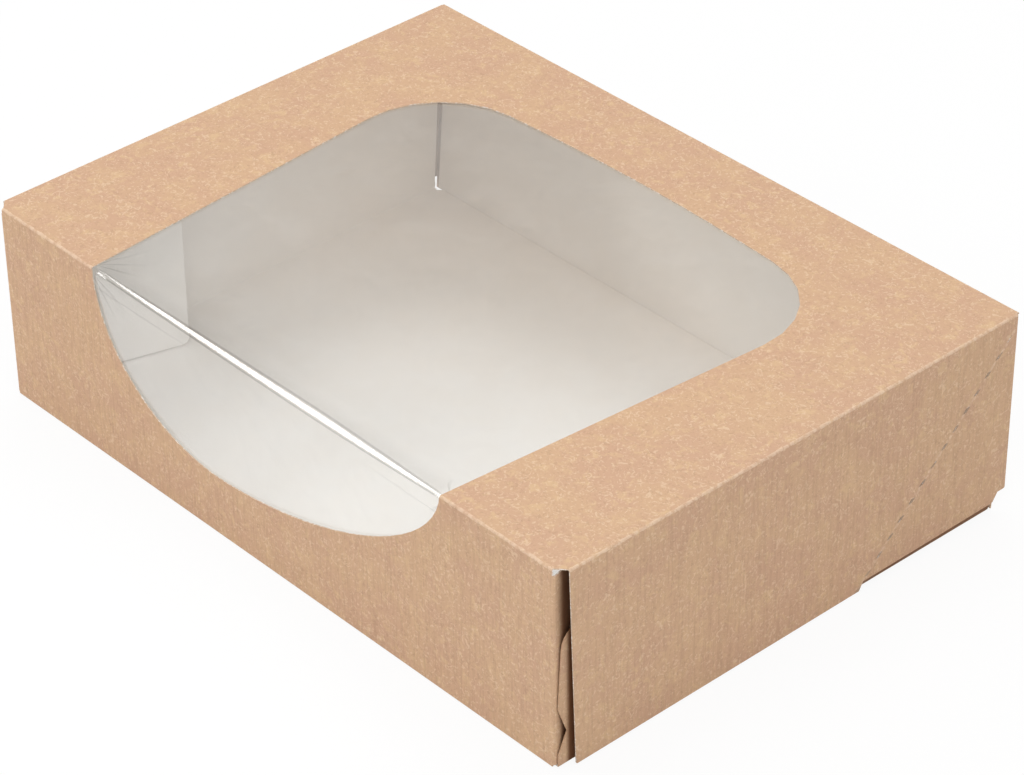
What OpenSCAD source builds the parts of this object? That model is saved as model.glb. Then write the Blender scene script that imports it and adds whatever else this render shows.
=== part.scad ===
// Pastry box folded from kraft boxboard, with a clear window that wraps over its front crease.
// The base is a shallow tray. The lid is a deep cover (top, front, sides and back) that tips
// back on the crease where the foot of its back panel meets the base.
// The origin is the middle of the closed box's footprint, on the table. The front faces -Y.

/* [Box] */
// Length of the closed box along its front
box_w = 310; // [220:5:450]
// Depth of the closed box, from the front panel to the back crease of the lid
box_d = 224; // [180:2:340]
// Height of the closed box
box_h = 84; // [74:1:130]
// Thickness of the boxboard
board_t = 0.5; // [0.4:0.05:0.7]
// Radius of the outside of every fold
fold_r = 0.9; // [0.8:0.05:1.2]
// Running clearance between the plies of the lid and of the base
ply_gap = 0.3; // [0.2:0.05:0.6]

/* [Lid] */
// Distance of the base's rear crease from the lid's back edge, by which the back panel slants
hinge_setback = 7; // [3:0.5:10]
// Distance of the front panel's ends from the outside of the side panels
front_inset = 3.5; // [3:0.25:5]
// Offset of the front panel, which sits a little to the left
front_shift = 0; // [-1:0.25:1]
// Height of the lid's lower edges above the table
lid_lift = 0.3; // [0.2:0.1:1]
// Distance of the side panels' front edges from the front face, at the top
side_gap_top = 4; // [3:0.5:6]
// The same distance at the bottom
side_gap_bottom = 7; // [4:0.5:10]
// Distance of the side panels' back edges from the lid's back edge
side_gap_back = 1.5; // [1:0.25:2.5]
// Height of the side panels' lower edges above the table, behind the slanted crease
rear_lift = 3.75; // [1.5:0.25:4]
// Height of the notch in each side panel that clears the rear crease
heel_h = 7.5; // [5:0.5:9]

/* [Corners] */
// Distance below the top where the slanted crease meets the lid's back edge
crease_drop = 3.5; // [2:0.5:6]
// Length of each nick along the slanted crease
nick_len = 3; // [2:0.5:4]
// Width of each nick
nick_w = 0.4; // [0.3:0.05:0.6]
// Distance from one nick to the next
nick_pitch = 7.5; // [6:0.5:12]
// Distance of the glued corner web from the slanted crease
web_gap = 2; // [1:0.25:2.5]
// Distance of the corner web from the top of the box
web_top_gap = 12; // [12:1:20]
// Height of the corner web's lower edge above the table
web_low = 10; // [9.5:0.5:20]

/* [Dust flaps] */
// Length of the dust flaps folded back from the ends of the front panel
dust_len = 70; // [40:1:80]
// Angle by which the dust flaps spring in from the side panels
dust_spring = 16; // [8:1:20]
// Distance of the dust flaps from the top of the box
dust_top_gap = 2.5; // [1.5:0.25:5]
// Height of the dust flaps' lower edges above the table
dust_low = 1.2; // [1:0.1:4]
// Fall of the dust flaps' upper edges towards their ends
dust_taper = 5; // [0:0.5:10]

/* [Window] */
// Board left between each side crease and the window, at the front crease
window_side_front = 59.5; // [45:0.5:70]
// The same width at the window's back corners
window_side_back = 45.3; // [35:0.5:60]
// Board left between the back crease and the window's back corners
window_back = 43; // [30:1:60]
// Rise of the window's bowed back edge from its corners to its middle
window_bow = 7; // [3:0.5:10]
// Radius of the bowed back edge
window_bow_r = 900; // [400:50:950]
// Radius of the window's back corners
window_corner_r = 38; // [15:1:38]
// Height of the window's lowest point on the front panel above the table
window_low = 26; // [20:1:40]
// Offset of that lowest point from the middle, to the left
window_low_x = -28; // [-40:1:20]
// Fullness of the left half of the curve on the front panel, where 2 is an ellipse
window_full_left = 2; // [1.6:0.05:2.4]
// Fullness of the right half of that curve
window_full_right = 1.75; // [1.6:0.05:2.4]
// Thickness of the window film
film_t = 0.2; // [0.1:0.05:0.3]
// Radius of the film's bend at the front crease, which is not creased
film_bend_r = 3; // [2:0.25:5]
// Width of film glued behind the board round the window
film_margin = 8; // [5:0.5:12]

/* [Base] */
// How far each side of the base tapers in towards the front, so that the lid closes over it
base_taper = 1.5; // [0.5:0.25:1.75]
// Height of the base's side flaps
base_flap_h = 58; // [40:1:62]
// Depth of the notch in the front edge of each side flap
flap_notch = 4; // [2:0.5:6]
// Opening between the back edge of each side flap and the back panel
flap_slot = 2.2; // [1.5:0.1:4]
// Radius of the side flaps' upper corners
flap_corner_r = 9; // [4:0.5:12]
// Height of the base's front lip
base_lip_h = 20; // [12:1:24]
// Angle by which the front lip leans back from the front panel
base_lip_lean = 5; // [4:0.5:8]
// Distance of the front lip's ends from the sides of the base
base_lip_inset = 6; // [4:0.5:10]
// Clearance of the rear crease round the foot of the back panel
hinge_gap = 0.1; // [0.05:0.05:0.3]

/* [Hidden] */
$fn = 48;
kraft = [0.82, 0.68, 0.55];
clear_film = [0.86, 0.85, 0.83, 0.45];
// Length by which every cutter runs past what it cuts
over = 1;
// Relief at the ends of a fold that isn't square, and depth to which glue lets two plies sink in
fold_relief = 0.3;
glue_bite = 0.05;
// Steps in each rounded corner of an outline, and in each half of the window's front curve
corner_steps = 6;
curve_steps = 20;

half_w = box_w / 2;
front_y = -box_d / 2;
back_y = box_d / 2;
fold_in = fold_r - board_t;
// The ends of the front panel
front_left = -half_w + front_inset + front_shift;
front_right = half_w - front_inset + front_shift;

// The rear crease: its axis lies in the middle of the board at the foot of the back panel
hinge_y = back_y - hinge_setback;
hinge_z = board_t / 2;
// The back panel runs from there, as a tangent, to the fold along the lid's back edge
wall_run = [hinge_y - (back_y - fold_r), hinge_z - (box_h - fold_r)];
wall_mid_r = fold_r - board_t / 2;
wall_lean = -(atan2(wall_run[1], wall_run[0]) + acos(wall_mid_r / norm(wall_run)));
wall_len = sqrt(wall_run * wall_run - wall_mid_r * wall_mid_r);
// Height and distance of a point from the back crease, measured along and across the back panel
function from_crease(y, z) =
    let (v = [y - back_y + fold_r, z - box_h + fold_r])
    [v * [cos(wall_lean), -sin(wall_lean)], v * [sin(wall_lean), cos(wall_lean)]];
// The inner face of the side panels, and the outer face of the webs that are glued to it
glue_x = half_w - board_t;
web_x = glue_x + glue_bite;

// The slanted crease falls at 45 degrees from the lid's back edge
function crease_y(z) = back_y - (box_h - crease_drop - z);

// The base lies inside the lid's side panels and webs, and behind the film
base_x = glue_x - board_t - ply_gap;
base_front = front_y + board_t + film_t + ply_gap;
base_back = hinge_y - hinge_z - hinge_gap;
base_turn = atan(base_taper / (base_back - base_front));
base_x_front = base_x - base_taper;

// The film is a plain strip as wide as the widest part of the window and its glued margins
film_x = half_w - window_side_back + film_margin;
film_back = back_y - window_back + window_bow + film_margin;
film_low = window_low - film_margin;

// Points of a closed outline whose corners, given as [x, y, radius], are rounded
function unit(v) = v / norm(v);
function arc(c, r, a, turn, steps) =
    [for (i = [0:steps]) c + r * [cos(a + turn * i / steps), sin(a + turn * i / steps)]];
function round_corner(a, b, c, r) =
    let (u = unit(a - b), v = unit(c - b), half = acos(u * v) / 2,
         start = b + u * r / tan(half), centre = b + unit(u + v) * r / sin(half),
         side = sign(cross(b - a, c - b)), from = start - centre)
    arc(centre, r, atan2(from[1], from[0]), side * (180 - 2 * half), corner_steps);
function flat(p) = [p[0], p[1]];
function rounded(pts) =
    let (n = len(pts))
    [for (i = [0:n - 1]) each pts[i][2] > 0
        ? round_corner(flat(pts[(i + n - 1) % n]), flat(pts[i]), flat(pts[(i + 1) % n]), pts[i][2])
        : [flat(pts[i])]];

// A fold: a strip of board bent square about the Z axis, from the X axis to the Y axis
module fold(length)
    rotate_extrude(angle = 90) translate([fold_in, 0]) square([board_t, length]);

// A fold that springs past square at its far end, or before its near end if the angle is negative
module sprung_fold(length, spring) {
    fold(length);
    translate([0, 0, fold_relief]) rotate(spring) fold(length - 2 * fold_relief);
}

// Turns an XY outline into the YZ plane and an XY fold about Z into one about X
module facing_x() rotate([90, 0, 90]) children();

// Turns an XY outline into the XZ plane, extruded towards the front
module facing_front() rotate([90, 0, 0]) children();

// Puts a child on the axis of the back fold, with Z up along the slanted back panel
module at_back_fold()
    translate([0, back_y - fold_r, box_h - fold_r]) rotate([-wall_lean, 0, 0]) children();

// Top panel, with its front corners cut back to the ends of the folds
module lid_top()
    translate([0, 0, box_h - board_t]) linear_extrude(board_t) polygon([
        [front_left + fold_r, front_y + fold_r], [front_right - fold_r, front_y + fold_r],
        [half_w - fold_r, front_y + side_gap_top], [half_w - fold_r, back_y - fold_r],
        [-half_w + fold_r, back_y - fold_r], [-half_w + fold_r, front_y + side_gap_top]]);

// Front panel, which hangs from the front crease
module lid_front() {
    x = front_left + fold_r;
    w = front_right - fold_r - x;
    translate([x, front_y + fold_r, box_h - fold_r]) facing_x() rotate(90) fold(w);
    translate([x, front_y, lid_lift]) cube([w, board_t, box_h - fold_r - lid_lift]);
}

// Dust flap on the right end of a front panel that ends at x
module dust_flap(x) {
    low = dust_low;
    high = box_h - dust_top_gap;
    translate([x - fold_r, front_y + fold_r, 0]) {
        translate([0, 0, low]) rotate(-90) sprung_fold(high - low, dust_spring);
        rotate(dust_spring) translate([fold_in, 0, 0]) facing_x() linear_extrude(board_t)
            polygon(rounded([[0, low, 0], [dust_len, low, 3],
                             [dust_len, high - dust_taper, 6], [0, high, 0]]));
    }
}

// Outline of a side panel, seen from the side
module side_outline() {
    foot_y = crease_y(rear_lift);
    heel_y = hinge_y - over;
    back = back_y - side_gap_back;
    polygon(rounded([
        [front_y + side_gap_bottom, lid_lift, 0.6], [foot_y - 2 * over, lid_lift, 0],
        [foot_y, rear_lift, 0], [heel_y, rear_lift, 1.2],
        [heel_y + (heel_h - rear_lift) * 0.7, heel_h, 0], [back, heel_h, 0.6],
        [back, box_h, 0], [front_y + side_gap_top, box_h, 0],
        [front_y + side_gap_top, box_h - fold_r, 0]]));
}

// Nicks that weaken the slanted crease, so that the corner can fold flat
module crease_nicks() {
    fall = (box_h - crease_drop - rear_lift) * sqrt(2);
    count = floor((fall - nick_pitch) / nick_pitch);
    for (i = [1:count]) translate([0, back_y, box_h - crease_drop]) rotate([-45, 0, 0])
        translate([glue_x - over, -nick_w / 2, -i * nick_pitch - nick_len / 2])
            cube([board_t + 2 * over, nick_w, nick_len]);
}

// Right side panel, which hangs from its own crease
module lid_side() difference() {
    intersection() {
        union() {
            translate([half_w - fold_r, back_y, box_h - fold_r]) facing_front() fold(box_d);
            translate([glue_x, front_y, 0]) cube([board_t, box_d, box_h - fold_r]);
        }
        translate([half_w - fold_r - over, 0, 0]) facing_x()
            linear_extrude(fold_r + 2 * over) side_outline();
    }
    crease_nicks();
}

// Slanted back panel, with a rounded foot on the rear crease
module lid_back() {
    w = web_x - fold_r;
    top_w = half_w - fold_r;
    translate([-top_w, back_y - fold_r, box_h - fold_r]) facing_x() fold(2 * top_w);
    at_back_fold() {
        translate([-w, 0, 0]) facing_x() fold(2 * w);
        translate([-w, fold_in, -wall_len]) cube([2 * w, board_t, wall_len]);
        translate([-w, wall_mid_r, -wall_len]) rotate([0, 90, 0]) cylinder(d = board_t, h = 2 * w);
    }
}

// Web on the right end of the back panel, folded forward and glued inside the side panel
module corner_web() {
    low = from_crease(crease_y(web_low) + web_gap, web_low);
    high = from_crease(crease_y(box_h - web_top_gap) + web_gap, box_h - web_top_gap);
    at_back_fold() {
        translate([web_x - fold_r, 0, low[1]]) fold(high[1] - low[1]);
        translate([web_x - board_t, 0, 0]) facing_x() linear_extrude(board_t)
            polygon([[0, low[1]], [0, high[1]], high, low]);
    }
}

// One half of the window's curve on the front panel, from its lowest point out to the crease
function front_curve(reach, full) =
    [for (i = [0:curve_steps]) let (a = 90 * i / curve_steps)
        [window_low_x + reach * pow(sin(a), 2 / full),
         box_h - (box_h - window_low) * pow(cos(a), 2 / full)]];

// The window: one opening that runs from the top panel over the crease into the front panel
module window_cut() {
    front = half_w - window_side_front;
    top = rounded([[front, front_y, 0], [half_w - window_side_back, back_y - window_back,
                    window_corner_r], [0, back_y - window_back + window_bow, window_bow_r],
                   [-half_w + window_side_back, back_y - window_back, window_corner_r],
                   [-front, front_y, 0]]);
    right = front_curve(front - window_low_x, window_full_right);
    left = [for (p = front_curve(front + window_low_x, window_full_left))
        [2 * window_low_x - p[0], p[1]]];
    left_up = [for (i = [curve_steps:-1:1]) left[i]];
    translate([0, 0, box_h - fold_r]) linear_extrude(fold_r + over)
        polygon(concat(top, [[-front, front_y - over], [front, front_y - over]]));
    translate([0, front_y + fold_r, 0]) facing_front() linear_extrude(fold_r + over)
        polygon(concat(left_up, right, [[front, box_h + over], [-front, box_h + over]]));
}

module lid() color(kraft) difference() {
    union() {
        lid_top();
        lid_front();
        dust_flap(front_right);
        mirror([1, 0, 0]) dust_flap(-front_left);
        lid_back();
        for (side = [0, 1]) mirror([side, 0, 0]) {
            lid_side();
            corner_web();
        }
    }
    window_cut();
}

// Window film: one strip, glued behind the top and front panels and bent over between them
module window_film() color(clear_film) {
    bend_y = front_y + board_t + film_bend_r;
    bend_z = box_h - board_t - film_bend_r;
    translate([-film_x, 0, 0]) {
        translate([0, bend_y, box_h - board_t - film_t])
            cube([2 * film_x, film_back - bend_y, film_t]);
        translate([0, bend_y, bend_z]) facing_x() rotate(90) rotate_extrude(angle = 90)
            translate([film_bend_r - film_t, 0]) square([film_t, 2 * film_x]);
        translate([0, front_y + board_t, film_low])
            cube([2 * film_x, film_t, bend_z - film_low]);
    }
}

// Outline of a side flap of the base, seen from the side
module flap_outline() {
    front = base_front + ply_gap;
    back = base_back - flap_slot + base_flap_h * tan(wall_lean);
    polygon(rounded([
        [front, 0, 0.5], [base_back - 1, 0, 1.6], [base_back - flap_slot / 2, 4, 0],
        [back, base_flap_h, flap_corner_r], [front + flap_notch / 2, base_flap_h, flap_corner_r],
        [front, 25, 3], [front + flap_notch, 14, 1], [front, 5, 1]]));
}

// Right side flap of the base, with the strip of floor that it is folded up from
module base_side() translate([base_x, base_back]) rotate(-base_turn) translate([-base_x, -base_back])
    intersection() {
        union() {
            translate([base_x - fold_r - over, front_y, 0]) cube([over, box_d, board_t]);
            translate([base_x - fold_r, back_y, fold_r]) facing_front() rotate(-90) fold(box_d);
            translate([base_x - board_t, front_y, fold_r]) cube([board_t, box_d, base_flap_h]);
        }
        translate([base_x - fold_r - 2 * over, 0, 0]) facing_x()
            linear_extrude(fold_r + 3 * over) flap_outline();
    }

// Front lip, which leans back so that the front panel clears it as the lid lifts
module base_lip() {
    x = base_x_front - base_lip_inset;
    translate([-x, base_front + fold_r, fold_r]) facing_x() rotate(180)
        sprung_fold(2 * x, -base_lip_lean);
    translate([0, base_front + fold_r, fold_r]) rotate([-base_lip_lean, 0, 0])
        translate([0, -fold_in, 0]) facing_front() linear_extrude(board_t)
            polygon(rounded([[-x, 0, 0], [x, 0, 0], [x - 4, base_lip_h - fold_r, 4],
                             [4 - x, base_lip_h - fold_r, 4]]));
}

module base_tray() color(kraft) {
    x = base_x - fold_r - over / 2;
    x_front = x - base_taper;
    x_lip = base_x_front - base_lip_inset;
    corner = 3;
    linear_extrude(board_t) polygon([
        [-x_front, base_front + 2 * fold_r], [-x_lip, base_front + fold_r],
        [x_lip, base_front + fold_r], [x_front, base_front + 2 * fold_r],
        [x, base_back - corner], [x - corner, base_back],
        [corner - x, base_back], [-x, base_back - corner]]);
    for (side = [0, 1]) mirror([side, 0, 0]) base_side();
    base_lip();
}

base_tray();
lid();
window_film();
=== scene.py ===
import math

import bmesh
import bpy
from mathutils import Matrix, Vector, noise


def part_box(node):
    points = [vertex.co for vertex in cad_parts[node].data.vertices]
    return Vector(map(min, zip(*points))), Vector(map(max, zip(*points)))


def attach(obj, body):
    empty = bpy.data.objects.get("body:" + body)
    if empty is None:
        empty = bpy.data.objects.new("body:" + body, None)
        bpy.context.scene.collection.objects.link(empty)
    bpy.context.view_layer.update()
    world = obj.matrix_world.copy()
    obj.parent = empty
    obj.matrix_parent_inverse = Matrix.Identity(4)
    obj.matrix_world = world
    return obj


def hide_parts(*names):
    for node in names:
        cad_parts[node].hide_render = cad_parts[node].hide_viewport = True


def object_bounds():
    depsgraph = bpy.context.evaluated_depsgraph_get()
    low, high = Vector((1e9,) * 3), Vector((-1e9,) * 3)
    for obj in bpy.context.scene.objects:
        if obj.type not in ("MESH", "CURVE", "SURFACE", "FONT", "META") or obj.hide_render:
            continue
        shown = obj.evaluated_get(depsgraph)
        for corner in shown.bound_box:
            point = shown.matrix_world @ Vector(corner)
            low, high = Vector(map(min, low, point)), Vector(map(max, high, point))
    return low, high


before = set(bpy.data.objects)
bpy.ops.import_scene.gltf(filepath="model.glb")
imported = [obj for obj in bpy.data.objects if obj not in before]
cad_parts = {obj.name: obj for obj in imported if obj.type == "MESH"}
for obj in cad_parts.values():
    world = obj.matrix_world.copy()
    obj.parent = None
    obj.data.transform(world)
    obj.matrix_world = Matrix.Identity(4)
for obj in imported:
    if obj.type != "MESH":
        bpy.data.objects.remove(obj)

cad_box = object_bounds()

# ---- Base tray ----
# The bottom of the box: a flat floor with two side flaps and a low front lip, folded up and left
# unglued. Like the cover, it is die-cut from boxboard half a millimetre thick, brown kraft liner
# outside and pale pulp inside, with fibres and flecks in every direction and raw cut edges.
box_w, box_d, box_h = [hi - lo for lo, hi in zip(*cad_box)]
board_t = 0.0005

kraft_tan = (0.612, 0.399, 0.250, 1)
kraft_rose = (0.590, 0.372, 0.247, 1)
kraft_straw = (0.665, 0.455, 0.272, 1)
kraft_fibre = (0.765, 0.565, 0.385, 1)
kraft_fleck = (0.390, 0.240, 0.150, 1)
# Pale crease colour: partly rubbed liner, partly a painted highlight along the folds
pale_crease_and_highlight = (0.790, 0.600, 0.440, 1)
pulp_white = (0.985, 0.972, 0.950, 1)
pulp_warm = (0.925, 0.845, 0.758, 1)
cut_edge = (0.640, 0.480, 0.350, 1)
seam_brown = (0.300, 0.220, 0.160, 1)
# Painted shade colour, for gaps in the cover's shadow
painted_shade_brown = (0.140, 0.052, 0.018, 1)


class Amount:
    """A number that varies over a surface: Python's operators on it add Math nodes."""

    def __init__(self, tree, socket):
        self.tree, self.socket = tree, socket

    def math(self, operation, *others, clamp=False):
        sum_node = self.tree.nodes.new("ShaderNodeMath")
        sum_node.operation, sum_node.use_clamp = operation, clamp
        for slot, value in zip(sum_node.inputs, (self, *others)):
            if isinstance(value, Amount):
                self.tree.links.new(value.socket, slot)
            else:
                slot.default_value = value
        return Amount(self.tree, sum_node.outputs[0])

    def __add__(self, other): return self.math("ADD", other)
    def __radd__(self, other): return self.math("ADD", other)
    def __sub__(self, other): return self.math("SUBTRACT", other)
    def __rsub__(self, other): return (self * -1).math("ADD", other)
    def __mul__(self, other): return self.math("MULTIPLY", other)
    def __rmul__(self, other): return self.math("MULTIPLY", other)
    def __truediv__(self, other): return self.math("DIVIDE", other)
    def __abs__(self): return self.math("ABSOLUTE")
    def __lt__(self, other): return self.math("LESS_THAN", other)
    def __gt__(self, other): return self.math("GREATER_THAN", other)
    def least(self, other): return self.math("MINIMUM", other)
    def most(self, other): return self.math("MAXIMUM", other)
    def capped(self): return self.math("ADD", 0.0, clamp=True)

    def ramp(self, low, high):
        """0 at low and 1 at high, eased between them; low may be the larger."""
        share = ((self - low) * (1 / (high - low))).capped()
        return share * share * (3 - 2 * share)


class Finish:
    """A material being mixed: node() adds any node and returns its output."""

    def __init__(self, name):
        self.material = bpy.data.materials.new(name)
        self.material.use_nodes = True
        self.tree = self.material.node_tree
        self.tree.nodes.clear()

    def node(self, kind, sockets=None, settings=None, out=0):
        made = self.tree.nodes.new(kind)
        for key, value in (settings or {}).items():
            setattr(made, key, value)
        for key, value in (sockets or {}).items():
            if isinstance(value, Amount):
                self.tree.links.new(value.socket, made.inputs[key])
            else:
                made.inputs[key].default_value = value
        return Amount(self.tree, made.outputs[out])

    def axes(self, vector):
        return [self.node("ShaderNodeSeparateXYZ", {0: vector}, out=i) for i in range(3)]

    def vector(self, x, y, z):
        return self.node("ShaderNodeCombineXYZ", {0: x, 1: y, 2: z})

    def blend(self, share, first, second):
        """A colour: first where share is 0 and second where it is 1."""
        return self.node("ShaderNodeMix", {0: share, 6: first, 7: second},
                         {"data_type": "RGBA"}, out=2)

    def grain(self, where, scale, detail=2.0, roughness=0.5, distortion=0.0):
        """Noise of that many cells a metre, from about 0.2 to 0.8."""
        return self.node("ShaderNodeTexNoise", {"Vector": where, "Scale": scale, "Detail": detail,
                                                "Roughness": roughness, "Distortion": distortion})

    def surface(self, shader):
        output = self.tree.nodes.new("ShaderNodeOutputMaterial")
        self.tree.links.new(shader.socket, output.inputs["Surface"])
        return self.material


def kraft_board(name, cut_mask, marks_and_shade=lambda mix, x, y, z, kraft, pulp: (kraft, pulp)):
    """Boxboard, brown on the blank's outer face and pale on its inner face. cut_mask takes the
    place and the facing, and gives 1 on the raw edges; marks_and_shade may add marks and painted
    shade to the two faces' colours."""
    mix = Finish(name)
    place = mix.node("ShaderNodeTexCoord", out=3)
    facing = mix.node("ShaderNodeTexCoord", out=1)
    x, y, z = mix.axes(place)
    nx, ny, nz = mix.axes(facing)

    # The outer face looks away from the middle of the box
    outward = nx * x + ny * y + nz * (z - box_h / 2)
    outside = outward > 0
    upright = 1 - abs(nz).ramp(0.5, 0.8)

    # Kraft: broad clouds of tan, rose and straw, then curled pale fibres and dark flecks
    clouds = mix.grain(place, 55, 4, 0.6)
    patches = mix.grain(place, 230, 3, 0.6, 0.8)
    kraft = mix.blend(clouds.ramp(0.38, 0.62), kraft_tan, kraft_rose)
    kraft = mix.blend(patches.ramp(0.5, 0.7) * 0.85, kraft, kraft_straw)
    curls = mix.grain(place, 380, 3, 0.55, 2.2)
    kraft = mix.blend(curls.ramp(0.54, 0.64) * 0.58, kraft, kraft_fibre)
    shade = mix.grain(place, 620, 2, 0.5, 1.6)
    kraft = mix.blend(shade.ramp(0.55, 0.68) * 0.30, kraft, kraft_fleck)
    upright_place = mix.vector(x * 1100, y * 1100, z * 70)
    upright_grain = mix.grain(upright_place, 1, 2, 0.5)
    kraft = mix.blend(upright_grain.ramp(0.42, 0.72) * upright * 0.24, kraft, kraft_fleck)
    flecks = mix.grain(place, 1300, 1, 0.4)
    kraft = mix.blend(flecks.ramp(0.70, 0.76) * 0.35, kraft, kraft_fleck)

    # Creases: pale along every fold, partly the liner stretched and rubbed, partly a painted
    # highlight on the rounded fold
    side_in = box_w / 2 - abs(x)
    front_in = y + box_d / 2
    back_in = box_d / 2 - y
    top_in = box_h - z
    wobble = mix.grain(place, 240, 3, 0.7)
    reach = 0.0003 + wobble * 0.0011
    crease = ((side_in.most(top_in) - reach) < 0).most((front_in.most(top_in) - reach) < 0)
    crease = crease.most((back_in.most(top_in) - reach) < 0)
    rub_and_highlight = mix.grain(place, 420, 3, 0.7).ramp(0.38, 0.60)
    kraft = mix.blend(crease * (0.12 + 0.50 * rub_and_highlight), kraft, pale_crease_and_highlight)

    # Inner face: pale, with a painted warm shade towards the back and left, plus random warm clouds;
    # raw edges
    warm_shade_and_clouds = (y - x * 0.45).ramp(-0.03, 0.17) + mix.grain(place, 60, 3).ramp(0.35, 0.65) * 0.12
    pulp = mix.blend(warm_shade_and_clouds.capped(), pulp_white, pulp_warm)
    pulp = mix.blend(curls.ramp(0.6, 0.72) * 0.15, pulp, pulp_warm)
    raw = mix.blend(mix.grain(place, 1100, 2, 0.6).ramp(0.5, 0.62) * 0.6, cut_edge, pulp_white)
    kraft, pulp = marks_and_shade(mix, x, y, z, kraft, pulp)
    colour = mix.blend(outside, pulp, kraft)
    colour = mix.blend(cut_mask(x, y, z, nx, ny, nz), colour, raw)

    # Matt, with the relief of the fibres
    tooth = mix.grain(place, 1700, 3, 0.6) + curls * 0.8 + upright_grain * upright * 0.4
    relief = mix.node("ShaderNodeBump", {"Strength": 0.25, "Distance": 0.0002, "Height": tooth})
    matt = 0.78 + 0.12 * patches
    return mix.surface(mix.node("ShaderNodeBsdfPrincipled", {
        "Base Color": colour, "Roughness": matt, "Normal": relief,
        "Specular IOR Level": 0.25}))


def across(depth, facing):
    """1 on a raw edge of the panel that lies within a board's thickness of a plane."""
    return (depth < board_t * 1.1) * (abs(facing) < 0.3)


base_low, base_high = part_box("base_tray")


def base_cuts(x, y, z, nx, ny, nz):
    wall_x = base_high.x
    floor = across(z, nz)
    flaps = across(wall_x - abs(x), nx)
    lip = (y < base_low.y + 0.004) * (abs(x) < wall_x - 0.003) * (abs(nx).most(nz) > 0.7)
    return floor.most(flaps).most(lip * (z > 0.0012))


def base_painted_shade(mix, x, y, z, kraft, pulp):
    """Painted shade on each side flap: a dark band along its foot towards the back, and one down its
    front edge in the gap of the front corner, where the cover shades it.
    """
    on_flap = (abs(x) > base_high.x - 0.0030) * (z > 0.0006)
    foot_shade = z.ramp(0.0055, 0.0028) * y.ramp(0.020, 0.045) * 0.75
    behind = y - base_low.y
    front = behind.ramp(0.0032, 0.0058) * behind.ramp(0.0160, 0.0085) * 0.97
    return mix.blend(on_flap * foot_shade.most(front), kraft, painted_shade_brown), pulp


base_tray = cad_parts["base_tray"]
base_tray.data.materials.clear()
base_tray.data.materials.append(kraft_board("kraft_base", base_cuts, base_painted_shade))

# ---- Cover ----
# The deep lid: top, front and side panels with the window cut through the front crease, dust flaps
# folded back from the front, and a slanted back panel glued to the sides by its corner webs.


def cover_cuts(x, y, z, nx, ny, nz):
    top = across(box_h - z, nz)
    sides = across(box_w / 2 - abs(x), nx)
    front = across(y + box_d / 2, ny)
    dust_edge = (abs(nz) > 0.7) * (y < -0.03) * (abs(x) > 0.125) * (z < box_h - 0.0019)
    return top.most(sides).most(front).most(dust_edge)


def cover_marks_and_shade(mix, x, y, z, kraft, pulp):
    """The nicked crease down each side panel's back corner, paled partly by rubbing and partly as a
    painted highlight, with dark dashes at the nicks; painted shade on the dust flaps and in each
    back corner's inner seam.
    """
    on_side = abs(x) > box_w / 2 - 0.0012
    place = mix.vector(x, y, z)
    ragged = mix.grain(place, 700, 2)
    uneven = mix.grain(place, 75, 2)
    drop = box_h - 0.0035 - z
    off = abs(box_d / 2 - y - drop + mix.grain(place, 300, 2) * 0.0010 - 0.0005)
    along = (drop * (1.4142 / 0.0075)).math("FRACT")
    dash = (0.06 + ragged * 0.26 - abs(abs(along - 0.5) - 0.5)).ramp(0, 0.06) * (drop > 0.006)
    kraft = mix.blend(on_side * off.ramp(0.0016, 0.0002) * ragged.ramp(0.3, 0.7) * 0.55,
                      kraft, pale_crease_and_highlight)
    nick = dash * off.ramp(0.0014, 0.0006) * (0.50 + uneven.ramp(0.36, 0.60) * 0.45)
    kraft = mix.blend(on_side * nick, kraft, seam_brown)
    # Painted shade: the dust flaps' outer faces darken into the gap behind the side panels
    behind = y + box_d / 2
    hidden = (behind > 0.0014) * (abs(x) < box_w / 2 - 0.0010) * (box_h - z > 0.0012)
    painted_gap_shade = behind.ramp(0.0015, 0.0060) * behind.ramp(0.0350, 0.0120) * 0.93
    kraft = mix.blend(hidden * painted_gap_shade, kraft, painted_shade_brown)
    # Painted shade: a dark kraft-toned strip on the inner face at each back corner, for a shaded
    # slot there
    corner_slot_shade = (abs(x) > box_w / 2 - 0.0026) * (y > box_d / 2 - 0.0130)
    return kraft, mix.blend((corner_slot_shade * 0.80).most(on_side * nick), pulp, kraft_fleck)


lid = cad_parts["lid"]
lid.data.materials.clear()
lid.data.materials.append(kraft_board("kraft_cover", cover_cuts, cover_marks_and_shade))

# ---- Window film ----
# One rectangle of thin clear film, glued behind the top and front panels. It isn't creased: it
# rolls over between the two panels, pulls a little slack, and puckers at the ends of the roll.
film_low, film_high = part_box("window_film")
film_t = 0.0002
roll_r = 0.0029
roll_y = film_low.y + 0.003
roll_z = film_high.z - 0.003
top_run = film_high.y - roll_y
roll_run = roll_r * math.pi / 2
front_run = roll_z - film_low.z
flat_most, flat_fall = 0.47, 0.38
rows = {"top": 90, "roll": 24, "front": 44}
columns = 150


def row_place(row):
    """How far along the film a row lies, from its back edge."""
    if row <= rows["top"]:
        return top_run * row / rows["top"]
    row -= rows["top"]
    if row <= rows["roll"]:
        return top_run + roll_run * row / rows["roll"]
    return top_run + roll_run + front_run * (row - rows["roll"]) / rows["front"]


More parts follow.
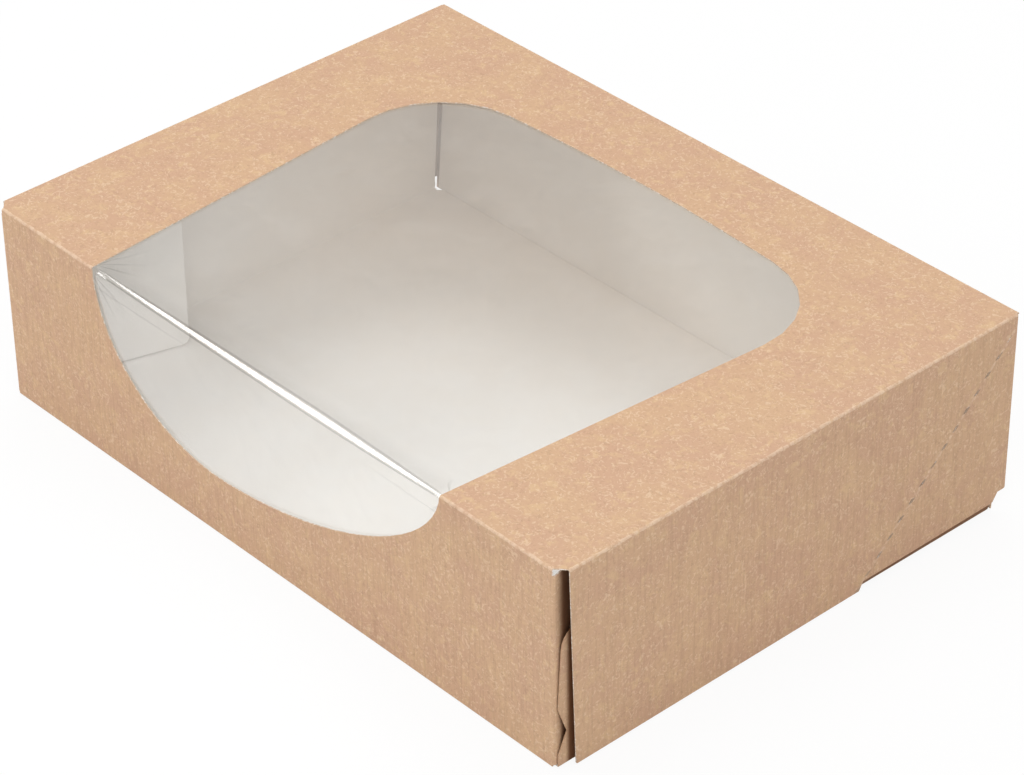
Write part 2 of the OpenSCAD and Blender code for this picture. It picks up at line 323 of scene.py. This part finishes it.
def slack(x, run):
    """How far the film stands in from its flat place, by where it is along and across."""
    mm_x, mm_run = x * 1000, (run - top_run) * 1000
    inside = max(0.0, 1 - (abs(mm_x) / 104) ** 6)
    inside *= max(0.0, min(1.0, (mm_run + 186) / 12)) * max(0.0, min(1.0, (62 - mm_run) / 8))
    waves = 0.35 + 0.35 * noise.noise(Vector((mm_x / 60, mm_run / 40, 0.3)))
    # Puckers fan out from the left end of the roll, and one soft one from the right end
    away = math.hypot(mm_x + 98, mm_run - 2)
    angle = math.atan2(mm_run - 2, mm_x + 98)
    fan = 0.22 * math.sin(angle * 16) * math.exp(-away / 26) * min(1.0, away / 6)
    away = math.hypot(mm_x - 98, mm_run - 2)
    angle = math.atan2(mm_run - 2, 98 - mm_x)
    fan += 0.12 * math.sin(angle * 11) * math.exp(-away / 22) * min(1.0, away / 6)
    return max(0.0, waves + fan) * inside / 1000


def roll_reach(turn, x):
    """How far from the roll's axis the film lies: round, but drawn flat in a long slim facet."""
    share = flat_most - flat_fall * min(1.0, abs(x - 0.030) / (0.126 if x < 0.030 else 0.066)) ** 1.5
    chord = roll_r * math.sqrt(1 - share ** 2) / math.cos(turn - math.pi / 4)
    return (roll_r ** -12 + chord ** -12) ** (-1 / 12)


film_mesh = bmesh.new()
bmesh.ops.create_grid(film_mesh, x_segments=columns, y_segments=sum(rows.values()), size=1)
for vert in film_mesh.verts:
    x = vert.co.x * film_high.x
    run = row_place(round((1 - vert.co.y) / 2 * sum(rows.values())))
    depth = slack(x, run)
    if run <= top_run:
        vert.co = (x, film_high.y - run, film_high.z - film_t / 2 - depth)
    elif run <= top_run + roll_run:
        turn = (run - top_run) / roll_r
        reach = roll_reach(turn, x) - depth
        vert.co = (x, roll_y - reach * math.sin(turn), roll_z + reach * math.cos(turn))
    else:
        vert.co = (x, film_low.y + film_t / 2 + depth, roll_z - (run - top_run - roll_run))
bmesh.ops.recalc_face_normals(film_mesh, faces=film_mesh.faces)
bmesh.ops.solidify(film_mesh, geom=film_mesh.faces[:], thickness=film_t / 2)
film_data = bpy.data.meshes.new("window_sheet")
film_mesh.to_mesh(film_data)
film_mesh.free()
for face in film_data.polygons:
    face.use_smooth = True
window_sheet = bpy.data.objects.new("window_sheet", film_data)
bpy.context.scene.collection.objects.link(window_sheet)

film = Finish("clear_film")
film_place = film.node("ShaderNodeTexCoord", out=3)
x, y, z = film.axes(film_place)
handling = film.grain(film_place, 60, 4, 0.6, 0.6)

# Painted shade: dark lines for the fine folds that fan out from both ends of the roll, on the top
# and on the front
behind, below = (y - roll_y) * 1000, (roll_z - z) * 1000
painted_fold_lines = 0.0
for end, count, length in ((-1, 15, 24), (1, 8, 12)):
    along = 97 - x * (1000 * end)
    for off in (behind.most(0.0), below.most(0.0)):
        off = off + 0.8
        angle = off.math("ARCTAN2", along)
        away = (off * off + along * along).math("SQRT")
        fold = (angle * count + film.grain(film_place, 90, 2) * 3).math("SINE").ramp(0.55, 0.98)
        fade = away.ramp(length, 2) * (along > 0.5) * (off > 0.9)
        painted_fold_lines = painted_fold_lines + fold * fade
# Painted shade: a dark line along each side of the flat facet, and a soft shade behind the roll
inside = (97 - abs(x) * 1000).ramp(0, 6)
from_peak = ((x - 0.030) * (-1 / 0.126)).most((x - 0.030) * (1 / 0.066)).capped()
facet = (flat_most - flat_fall * from_peak.math("POWER", 1.5)) * (roll_r * 1000)
beside = (behind - below) * 0.7071
upper = abs(beside - facet - 0.35).ramp(0.6, 0.1) * 0.7 + behind.ramp(9, 0) * (beside > facet) * 0.45
lower = abs(beside * -1 - facet - 0.35).ramp(0.5, 0.1) + (
    abs(below - 3.0 - 4 * handling).ramp(0.7, 0.1) * abs(x - 0.01).ramp(0.04, 0.08) * 0.35)
painted_film_shade = ((upper + lower) * inside + painted_fold_lines * 0.6).capped()
# Crumpled towards the left end, where the film scatters more light
milky = (x * 1000).ramp(40, -95) * (0.03 + 0.05 * below.ramp(-2, 2))

ripple = film.node("ShaderNodeBump", {"Strength": 0.04, "Distance": 0.0006,
                                      "Height": film.grain(film_place, 60, 1, 0.5, 0.5)})
slant = film.node("ShaderNodeLayerWeight", {"Blend": 0.5, "Normal": ripple}, out=1)
mirror = 0.05 + 0.95 * slant.math("POWER", 5.0)
haze = 0.045 + 0.02 * handling.ramp(0.4, 0.75) + milky + 0.025 * behind.ramp(0, 30)
seen = (haze + mirror * 0.9 + painted_film_shade * 0.16).capped()
# The painted film shade greys the gloss and makes the film less clear along its lines
gloss = film.node("ShaderNodeBsdfPrincipled", {
    "Base Color": film.blend(painted_film_shade, (0.97, 0.94, 0.91, 1), (0.30, 0.28, 0.26, 1)),
    "Roughness": 0.10 + 0.05 * handling, "Metallic": (mirror * 0.9) / seen,
    "IOR": 1.6, "Normal": ripple})
through = film.node("ShaderNodeBsdfTransparent", {"Color": (0.985, 0.985, 0.98, 1)})
film_shader = film.node("ShaderNodeMixShader", {0: seen, 1: through, 2: gloss})
window_sheet.data.materials.append(film.surface(film_shader))
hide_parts("window_film")
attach(window_sheet, "cover")

# ---- Floor, light and camera ----
# Not part of the box: a plain white sweep, a lamp to the front left that the film mirrors along
# its roll, one from above, one that shines in through the window, and the photograph's viewpoint.
floor_mesh = bmesh.new()
bmesh.ops.create_grid(floor_mesh, x_segments=1, y_segments=1, size=6)
floor_data = bpy.data.meshes.new("floor")
floor_mesh.to_mesh(floor_data)
floor_mesh.free()
floor = bpy.data.objects.new("floor", floor_data)
floor_data.transform(Matrix.Translation((0, 0, -0.0002)))
bpy.context.scene.collection.objects.link(floor)
sweep = Finish("white_sweep")
seen = sweep.node("ShaderNodeLightPath", out=0)
seen = seen.most(sweep.node("ShaderNodeLightPath", out=3))
paper = sweep.node("ShaderNodeBsdfPrincipled", {
    "Base Color": sweep.blend(sweep.grain(sweep.node("ShaderNodeTexCoord", out=3), 3),
                              (0.89, 0.89, 0.89, 1), (0.91, 0.91, 0.91, 1)),
    "Roughness": 0.9, "Specular IOR Level": 0.1})
white = sweep.node("ShaderNodeEmission", {"Color": (1, 1, 1, 1), "Strength": 1.0})
floor_data.materials.append(sweep.surface(
    sweep.node("ShaderNodeMixShader", {0: seen * 0.9, 1: paper, 2: white})))

scene = bpy.context.scene
scene.view_settings.view_transform = "Standard"
world = bpy.data.worlds.new("studio")
scene.world = world
world.use_nodes = True
sky = world.node_tree.nodes["Background"]
sky.inputs["Color"].default_value = (1, 1, 1, 1)
sky.inputs["Strength"].default_value = 0.56


def softbox(name, towards, distance, size, watts):
    """A square lamp of that many watts, looking at the middle of the box."""
    lamp = bpy.data.lights.new(name, "AREA")
    lamp.energy, lamp.size = watts, size
    made = bpy.data.objects.new(name, lamp)
    made.location = Vector(towards).normalized() * distance + Vector((0, 0, box_h / 2))
    made.rotation_euler = Vector(towards).to_track_quat("Z", "Y").to_euler()
    scene.collection.objects.link(made)


softbox("front_left", (-1.046, -1.019, 0.839), 1.6, 0.42, 5.6)
softbox("above", (-0.20, 0.30, 1.0), 1.8, 1.1, 9.8)
softbox("front_right", (0.50, -0.36, 0.85), 1.8, 0.9, 10.4)

camera_data = bpy.data.cameras.new("camera")
camera_data.sensor_width = 36
camera_data.lens = 133.4
camera_data.clip_start, camera_data.clip_end = 0.05, 30
camera = bpy.data.objects.new("camera", camera_data)
scene.collection.objects.link(camera)
scene.camera = camera
camera.location = (0.86677, -0.77433, 0.83547)
heading, fall, tilt = math.radians(137.956), math.radians(34.857), math.radians(-0.617)
look = Vector((math.cos(fall) * math.cos(heading), math.cos(fall) * math.sin(heading),
               -math.sin(fall)))
level = look.to_track_quat("-Z", "Y").to_matrix()
camera.rotation_euler = (level @ Matrix.Rotation(tilt, 3, "Z")).to_euler()
